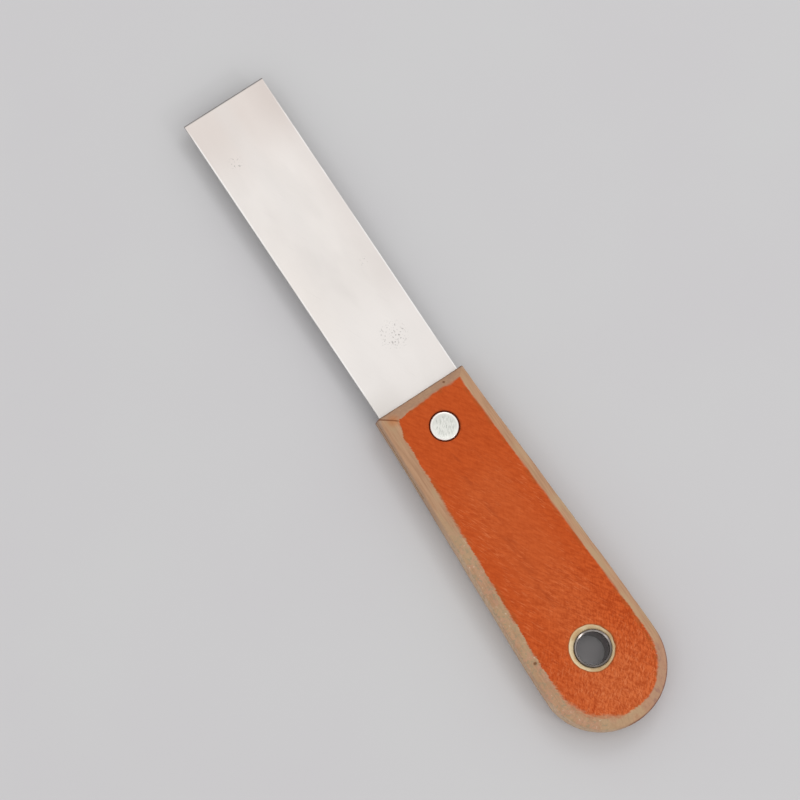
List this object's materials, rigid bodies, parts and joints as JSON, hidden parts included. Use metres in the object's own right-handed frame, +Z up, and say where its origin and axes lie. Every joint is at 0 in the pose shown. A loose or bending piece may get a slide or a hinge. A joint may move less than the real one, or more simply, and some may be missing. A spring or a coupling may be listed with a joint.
{
  "type": "flexible putty knife",
  "caption": "Narrow flexible putty knife: a straight square-ended spring-steel blade riveted into the kerf of a bevelled, stained hardwood handle with a metal-lined hang hole.",
  "frame": {"origin": "under the middle of the knife's length and width, on the surface that the handle lies on", "axes": "+X along the knife from the butt of the handle to the tip of the blade, +Z up, out of the handle's top face"},
  "size_m": [0.19, 0.0334, 0.01],
  "materials": {
    "handle_wood": "orange stained faces, bare tan wood on the bevels and edges",
    "blade_steel": "satin polished",
    "rivet_steel": "nickel plated, lightly scratched",
    "eyelet_steel": "bright plated"
  },
  "bodies": {
    "handle": {"handle": "handle_wood", "rivet_female": "rivet_steel", "rivet_male": "rivet_steel", "eyelet": "eyelet_steel"},
    "blade": {"blade": "blade_steel"}
  },
  "joints": [
    {"name": "blade_flex", "type": "hinge", "parent": "handle", "child": "blade", "pos_m": [0.005, 0, 0.005], "axis": [0, -1, 0], "range_deg": [-15, 15], "stiffness_Nm_per_rad": 6.83, "deforming": ["blade"]}
  ]
}
